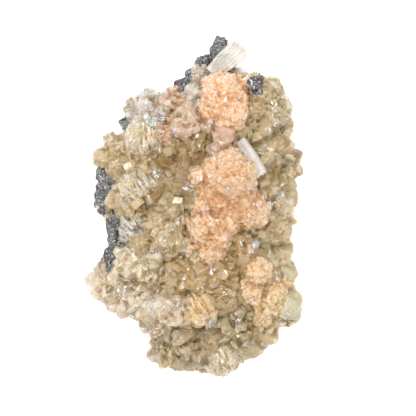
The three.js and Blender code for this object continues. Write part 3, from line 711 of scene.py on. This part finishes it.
# Stellerite rosettes
# Sheaves of thin pearly plates that fan about one line, so that their rims make a fluted, scalloped ball.
# First: painted shade in the grooves between plates; middle: body colour; last: painted light on rims and tips
CREAM_PLATES = ("#665636", "#c0aa86", "#eadec4")
GREY_PLATES = ("#2c2420", "#90887c", "#e2dfd8")
ROSETTES = {
    "stellerite_rosette_lower": ((1, -34, 3.4), 5.8, (0.5, -0.9, 0.5), "peach_stellerite", YELLOW_PEACH),
    "stellerite_rosette_olive": ((8.6, -29.6, 1.6), 6, (1, 0.2, 0.4), "olive_crystal", OLIVE_GLASS),
    "stellerite_rosette_left": ((-19.6, 6, 2.4), 5.8, (0.6, -1, 0.4), "cream_stellerite", CREAM_PLATES),
    "stellerite_rosette_upper_left": ((-17.2, 22, 1.6), 6.6, (-0.2, 1, 0.5), "cream_stellerite", CREAM_PLATES),
    "stellerite_rosette_bottom": ((8, -50.8, 2.6), 5.6, (0.5, -1, 0.2), "cream_stellerite", CREAM_PLATES),
    "stellerite_rosette_shell": ((-20.6, -7.6, 1.4), 5.8, (0.6, -0.6, 0.9), "cream_stellerite", GREY_PLATES),
}


for number, (name, (place, radius, line, slot, shades)) in enumerate(ROSETTES.items()):
    middle = lobe_middle((place[0], place[1], 0, place[2]))
    heart = lump(middle, radius * HEART_SHARE, radius * 0.5, number)
    piece = make_piece(name, [heart], crystal_finish(name + "_plates", shades, 0.1), slot, name,
                       melt=ROSETTE_VOXEL)
    whole = (middle, radius, "plates")
    encrust(piece, [whole], [whole, (middle - [0, 0, 90], 0)], np.random.default_rng(60 + number), side=line)

# Single heulandite crystals
# Glassy coffin-shaped crystals, each a stack of parallel blades with a striated side and stepped ends; the
# clear ones are see-through with a pearly sheen on their broad face.
SINGLE_CRYSTALS = {
    "heulandite_sheaf_top": ((4.6, 44.4, 15.5), (10, 8.6, 3.2), (14.4, 6.8, 4.6), 0.2, 6, "clear"),
    "heulandite_blade_middle": ((14.2, 21.6, 20.8), (6.4, -11.4, 3.6), (14.6, 4.6, 2.8), 0.5, 2, "clear"),
    "heulandite_tablet_peach": ((6.4, 25.2, 20.4), (3.8, -1.9, 3), (7.4, 5, 4.2), 0.4, 2, "peach"),
    "heulandite_tablet_tan": ((20, 12.8, 20.4), (4, 4, 3.4), (7.6, 3.8, 2.6), 1.1, 2, "olive"),
    "heulandite_wedge_right": ((24.6, 7.4, 11.5), (7.6, -1.8, 0.6), (8.6, 8, 5), 1.2, 3, "olive"),
    "heulandite_crystal_green": ((25.4, -21.6, 12.4), (6.6, -2.4, 0.8), (8.2, 8.2, 5.4), 1.4, 3, "olive"),
    "heulandite_crystal_lower_right": ((24.6, -34.2, 14), (8.4, 0.6, 0.2), (10.4, 12.4, 8), 1.2, 4, "pale"),
    "heulandite_leaf_left": ((-15.4, 18.2, 16.4), (0.6, -14, 4.6), (15.4, 5.2, 4), 0.3, 3, "olive"),
    "heulandite_prism_right": ((16.4, -11, 15.4), (3, -3.4, 4.4), (6.4, 4.4, 3.4), 0.8, 2, "clear"),
    "heulandite_prism_lower": ((3.2, -40.4, 12), (1.4, 1.2, 4), (6.6, 4.4, 3), 0.9, 2, "clear"),
}


def glass_finish(name, tint, density, veil_share, clearest):
    """Heulandite: glass of IOR 1.5 that absorbs a little of its tint, with milky veils and fine striations."""
    material, tree, shader, place = begin_finish(name)
    veil = add(tree, "ShaderNodeTexNoise", {"Vector": place, "Scale": 220.0, "Detail": 3.0, "Distortion": 0.6})
    milky = add(tree, "ShaderNodeMapRange", {"Value": veil.outputs["Fac"], "From Min": 0.35, "From Max": 0.6,
                                             "To Min": clearest, "To Max": 1 - veil_share})
    lines = add(tree, "ShaderNodeTexWave", {"Vector": place, "Scale": 700.0, "Distortion": 2.0, "Detail": 2.0},
                bands_direction="DIAGONAL")
    relief = add(tree, "ShaderNodeBump", {"Height": lines.outputs["Fac"], "Strength": 0.1, "Distance": 0.0002})
    shader.subsurface_method = "BURLEY"
    wire(tree, shader, {
        "Base Color": linear(tint), "Roughness": 0.12, "IOR": 1.5, "Subsurface Weight": 1.0,
        "Subsurface Radius": (1.0, 0.8, 0.6), "Subsurface Scale": 0.0012,
        "Transmission Weight": milky.outputs[0], "Normal": relief.outputs[0]})
    inside = add(tree, "ShaderNodeVolumeAbsorption", {"Color": linear(tint), "Density": density})
    wire(tree, tree.nodes["Material Output"], {"Volume": inside.outputs[0]})
    return material


GLASSES = {
    "clear": glass_finish("clear_heulandite_glass", "#fdfaf4", 6.0, 0.85, 0.4),
    "olive": glass_finish("olive_heulandite_glass", "#dccba0", 30.0, 0.85, 0.5),
    "pale": glass_finish("pale_green_heulandite_glass", "#ece3bc", 16.0, 0.8, 0.5),
    "peach": glass_finish("peach_heulandite_glass", "#f8d0b6", 15.0, 0.95, 0.3),
}
SLOTS = {"clear": "clear_heulandite", "pale": "clear_heulandite", "olive": "olive_crystal",
         "peach": "peach_stellerite"}


def striated_prism(root, line, across, size, blades, seed):
    """A grid along and round a flat prism: its broad sides are grooved between parallel blades, and each blade
    ends at its own height, so the end is stepped. Width shrinks to the root and to the bevelled end."""
    length, width, thickness = size
    around, rows = 16 * blades, 14
    turn = (np.arange(around) + 0.5) * 2 * np.pi / around
    x = np.clip(1.25 * np.cos(turn), -1, 1)
    y = np.clip(1.5 * np.sin(turn), -1, 1)
    blade = np.clip(np.floor((x + 1) / 2 * blades), 0, blades - 1)
    groove = np.abs((x + 1) / 2 * blades - blade - 0.5) * 2
    y = y * (1 - 0.3 * groove ** 4)
    reach = 0.86 + 0.14 * chance(np.stack([blade, np.sign(y), 0 * y], axis=1), seed)
    row = np.linspace(0, 1, rows)
    wide = np.interp(row, [0, 0.5, 0.9, 1], [0.72, 1, 1, 0.78])
    deep = np.interp(row, [0, 0.5, 0.86, 1], [0.72, 1, 1, 0.6])
    thick = np.cross(line, across)
    points = (root + (row[:, None] * reach * length)[..., None] * line
              + (wide[:, None] * x * width / 2)[..., None] * across
              + (deep[:, None] * y * thickness / 2)[..., None] * thick).reshape(-1, 3)
    points = np.vstack([points, [root], [root + line * length * 0.93]])
    return points, wrapped(rows, around), 0.6, 0.5, False


for number, (name, (root, towards, size, roll, blades, tone)) in enumerate(SINGLE_CRYSTALS.items()):
    line = np.array(towards) / np.linalg.norm(towards)
    level = np.cross([0, 0, 1.0], line)
    level /= np.linalg.norm(level)
    across = np.cos(roll) * level + np.sin(roll) * np.cross(line, level)
    part = striated_prism(np.array(root), line, across, size, blades, number)
    make_piece(name + "_blades", [part], GLASSES[tone], SLOTS[tone], name)

# Pearly cleavage faces
# Heulandite and stellerite split along one plane, and each split face shines white like pearl. Each place is
# a cluster of small flakes set in the crystals: x, y, width and length of the cluster.
# The flakes' near-white colour is painted sheen: it stands for light reflected from the split faces
PEARLY_FACES = [
    (-11.7, 28.7, 1.0, 1.0), (3, 27, 1.4, 1.6), (4, 28.4, 1.0, 1.0), (5.3, 16, 2.2, 2.0), (6.6, 15, 1.0, 1.2),
    (-7.7, 24.3, 1.2, 3.0), (-16.7, 27.3, 2.0, 2.4), (-14.8, 27, 1.4, 1.6), (-22.3, 21.3, 1.4, 1.6),
    (-14, 11, 1.2, 2.8), (-18.7, 7.3, 1.8, 1.8), (-17, 8, 1.2, 1.2), (-3.3, 6.3, 1.8, 2.2), (1.3, 9.3, 1.4, 1.0),
    (9, 5.3, 1.0, 1.0), (16, 6, 1.6, 1.4), (24.7, 26, 2.0, 2.4), (24.7, 32, 1.0, 3.2), (26, 33, 0.8, 2.4),
    (27.3, 36.3, 1.8, 2.0), (17.7, 41, 1.8, 2.4), (3, -0.7, 1.0, 1.4), (19, 0.3, 1.2, 1.6), (24, 0, 1.0, 3.2),
    (-8, -7.7, 1.2, 1.6), (-6.6, -6, 1.0, 1.0), (-14, -15.7, 1.6, 1.8), (-12, -11.3, 1.2, 1.2),
    (14, -12.3, 1.2, 2.0), (18.7, -13.3, 1.8, 1.6), (4.7, -21.3, 1.2, 2.4), (8.7, -22, 1.0, 1.2),
    (-25, -27, 1.6, 4.0), (-24, -24.6, 1.4, 1.8), (-16, -33, 1.8, 3.2), (-6.7, -33, 1.6, 2.4),
    (4.7, -38.7, 2.6, 1.2), (3.6, -40, 2.0, 1.0), (13, -37.3, 1.2, 3.2), (29.7, -34, 1.2, 3.0),
    (28.3, -37.3, 1.6, 1.2), (26.3, -24, 1.2, 1.4), (18.3, -32, 1.4, 1.0), (-9, -21, 1.0, 1.0), (1, -27, 1.0, 0.8),
]
# The coffin-shaped tablet of heulandite, one unit wide and long
TABLET_OUTLINE = np.array([[-0.34, 0], [0.34, 0], [0.5, 0.58], [0.24, 1], [-0.24, 1], [-0.5, 0.58]])
flake_dice = np.random.default_rng(55)


def tablet_form():
    """The tablet as points and faces: its outline at the waist, and 0.82 of it on each broad face."""
    middle, count = TABLET_OUTLINE.mean(axis=0), len(TABLET_OUTLINE)
    inner = middle + (TABLET_OUTLINE - middle) * 0.82
    rings = [(inner, -0.5), (TABLET_OUTLINE, -0.2), (TABLET_OUTLINE, 0.2), (inner, 0.5)]
    points = np.vstack([np.stack([ring[:, 0], np.full(count, y), ring[:, 1]], axis=1) for ring, y in rings])
    here, after = np.arange(count), (np.arange(count) + 1) % count
    low = np.arange(3)[:, None] * count
    quads = np.stack([low + here, low + count + here, low + count + after, low + after], axis=-1)
    return points, [quads.reshape(-1, 4), here[None, :], (3 * count + here[::-1])[None, :]]


def tablets(roots, lines, sides, sizes):
    """Copies of the tablet: scaled, its length laid along a line and its width towards a side, and moved."""
    corners, faces = tablet_form()
    lines = lines / np.linalg.norm(lines, axis=1)[:, None]
    sides = sides - np.sum(sides * lines, axis=1)[:, None] * lines
    sides /= np.linalg.norm(sides, axis=1)[:, None]
    fronts = np.cross(lines, sides)
    scaled = corners[None] * sizes[:, None, :]
    points = (roots[:, None] + scaled[..., 0:1] * sides[:, None] + scaled[..., 1:2] * fronts[:, None]
              + scaled[..., 2:3] * lines[:, None])
    start = (np.arange(len(roots)) * len(corners))[:, None, None]
    copies = [(start + rows[None]).reshape(-1, rows.shape[1]) for rows in faces]
    return points.reshape(-1, 3), copies, 1.0, 1.0, False


def painted_pearl_sheen_finish():
    """Pearly lustre as a painted sheen: nearly white with a breath of lilac and green, smooth, with a bright
    clear coat.
    """
    material, tree, shader, place = begin_finish("pearly_cleavage")
    drift = add(tree, "ShaderNodeTexNoise", {"Vector": place, "Scale": 250.0, "Detail": 2.0})
    tone = add(tree, "ShaderNodeValToRGB", {"Fac": drift.outputs["Fac"]})
    tone.color_ramp.elements[0].position, tone.color_ramp.elements[0].color = 0.4, linear("#f6ecfa")
    tone.color_ramp.elements[1].position, tone.color_ramp.elements[1].color = 0.6, linear("#f4fbf2")
    wire(tree, shader, {
        "Base Color": tone.outputs[0], "Roughness": 0.1, "Specular IOR Level": 1.0, "Coat Weight": 0.6})
    return material


def on_skin(x, y):
    """The highest point of the specimen under a place seen from above, with its normal and its piece's name."""
    above = Vector(((x - LAYOUT_MIDDLE[0]) * MM, (y - LAYOUT_MIDDLE[1]) * MM, 0.1))
    hits = [piece.ray_cast(above, Vector((0, 0, -1)), depsgraph=layers) for piece in grown]
    hits = [(place.z, place, normal, piece.name) for piece, (found, place, normal, _) in zip(grown, hits) if found]
    if not hits:
        return None, None, ""
    _, place, normal, name = max(hits, key=lambda hit: hit[0])
    return np.array(place) / MM + LAYOUT_MIDDLE, np.array(normal), name


bpy.context.view_layer.update()
layers = bpy.context.evaluated_depsgraph_get()
grown = [piece for piece in bpy.data.objects if piece.type == "MESH" and not piece.hide_render]
roots, lines, sizes = [], [], []
for x, y, width, length in PEARLY_FACES:
    for _ in range(int(2 + width * length)):
        spot, upright, _ = on_skin(x + flake_dice.normal(0, width * 0.4), y + flake_dice.normal(0, length * 0.35))
        if spot is None:
            continue
        tilt = np.array([0, 0, 1.2]) + upright * 0.5 + flake_dice.normal(0, 0.25, 3)
        tilt /= np.linalg.norm(tilt)
        along = np.cross(tilt, [1.0, 0.3, 0] + flake_dice.normal(0, 0.6, 3))
        along /= np.linalg.norm(along)
        reach = flake_dice.uniform(0.7, 1.5)
        roots.append(spot - along * reach / 2 + tilt * 0.05)
        lines.append(along)
        sizes.append([flake_dice.uniform(0.3, 0.75), 0.3, reach])
lines = np.array(lines)
flakes = tablets(np.array(roots), lines, np.cross(lines, [0, 0, 1.0]), np.array(sizes))
make_piece("pearly_faces", [flakes], painted_pearl_sheen_finish(), "druse", "heulandite_crust")

# Glassy tablets
# Larger tablets of heulandite that stand out of the crust, see-through with a faint tint of the crust: some at
# their own places, given with their lengths, and the rest scattered over it.
GLASSY_PLACES = [(30.4, 15.6, 6), (30, 4.4, 5.6), (28, 9, 4.4), (27, 18, 3.6), (24, -6, 4), (29.6, -31, 4.4),
                 (30, -36, 4), (24.6, -22, 4.4), (-29, -27, 3.4), (-26, 13, 3.6), (-17, -15, 3.6),
                 (-9, -49, 3.8), (27, 36, 3.6), (26, 30, 3.6), (12, -46, 3.4), (-20, 15, 4), (26, 24, 3.4)]
glass_dice = np.random.default_rng(77)
scattered = [glass_dice.uniform(low, high, 70) for low, high in ((-33, 33), (-53, 53), (0, 1))]
places = GLASSY_PLACES + [(x, y, 2.2 + 1.8 * share) for x, y, share in zip(*scattered)]
roots, lines, sizes = [], [], []
for x, y, length in places:
    spot, upright, name = on_skin(x, y)
    if not name.startswith("crust") or spot[2] < 8:
        continue
    line = upright + np.array([x / 60, y / 100, 0.3]) + glass_dice.normal(0, 0.35, 3)
    line /= np.linalg.norm(line)
    roots.append(spot - line * length * 0.45)
    lines.append(line)
    sizes.append(length * np.array([0.62, 0.3, 1]) * glass_dice.uniform(0.8, 1.2, 3))
roots, lines = np.array(roots), np.array(lines)
clear_tablets = tablets(roots, lines, glass_dice.normal(0, 1, roots.shape), np.array(sizes))
make_piece("glassy_tablets", [clear_tablets], glass_finish("crust_heulandite_glass", "#e0cfa2", 26.0, 0.85, 0.5),
           "clear_heulandite", "heulandite_crust")

# Floor, light and camera
# A plain near-white table under soft light from all round, with a few small lamps that make the facets glint.
floor_mesh = bpy.data.meshes.new("floor")
floor_mesh.from_pydata([(-3, -3, 0), (3, -3, 0), (3, 3, 0), (-3, 3, 0)], [], [(0, 1, 2, 3)])
floor = bpy.data.objects.new("floor", floor_mesh)
bpy.context.collection.objects.link(floor)
paint, paint_tree, paint_shader, _ = begin_finish("white_table")
wire(paint_tree, paint_shader, {"Base Color": linear("#fbfbfa"), "Roughness": 0.9,
                                "Emission Color": linear("#ffffff"), "Emission Strength": 0.5})
floor_mesh.materials.append(paint)

world = bpy.data.worlds.new("soft_room")
bpy.context.scene.world = world
world.use_nodes = True
world.node_tree.nodes["Background"].inputs["Color"].default_value = linear("#fdfcfa")
world.node_tree.nodes["Background"].inputs["Strength"].default_value = 0.26

KEY_LAMP = ((-0.35, 0.5, 0.75), 0.16, 2.0)
# Rings of small lamps: height, distance from the middle, number and first turn
RINGS = [(0.86, 0.22, 4, 0.5), (0.7, 0.5, 6, 0.2), (0.4, 0.72, 5, 0.9)]
lamps = [KEY_LAMP]
for height, far, count, first in RINGS:
    for turn in first + np.arange(count) * 2 * np.pi / count:
        lamps.append(((far * np.cos(turn), far * np.sin(turn), height), 0.08, 0.4))
for place, size, power in lamps:
    lamp = bpy.data.lights.new("lamp", "AREA")
    lamp.size, lamp.energy = size, power
    stand = bpy.data.objects.new("lamp", lamp)
    stand.location = place
    stand.rotation_euler = (Vector((0, 0, 0.015)) - Vector(place)).to_track_quat("-Z", "Y").to_euler()
    bpy.context.collection.objects.link(stand)

camera = bpy.data.cameras.new("camera")
camera.lens = 150
camera.clip_end = 10
eye = bpy.data.objects.new("camera", camera)
eye.location = (0.00313, -0.0008, 0.5928)
bpy.context.collection.objects.link(eye)
bpy.context.scene.camera = eye
bpy.context.scene.view_settings.view_transform = "Standard"
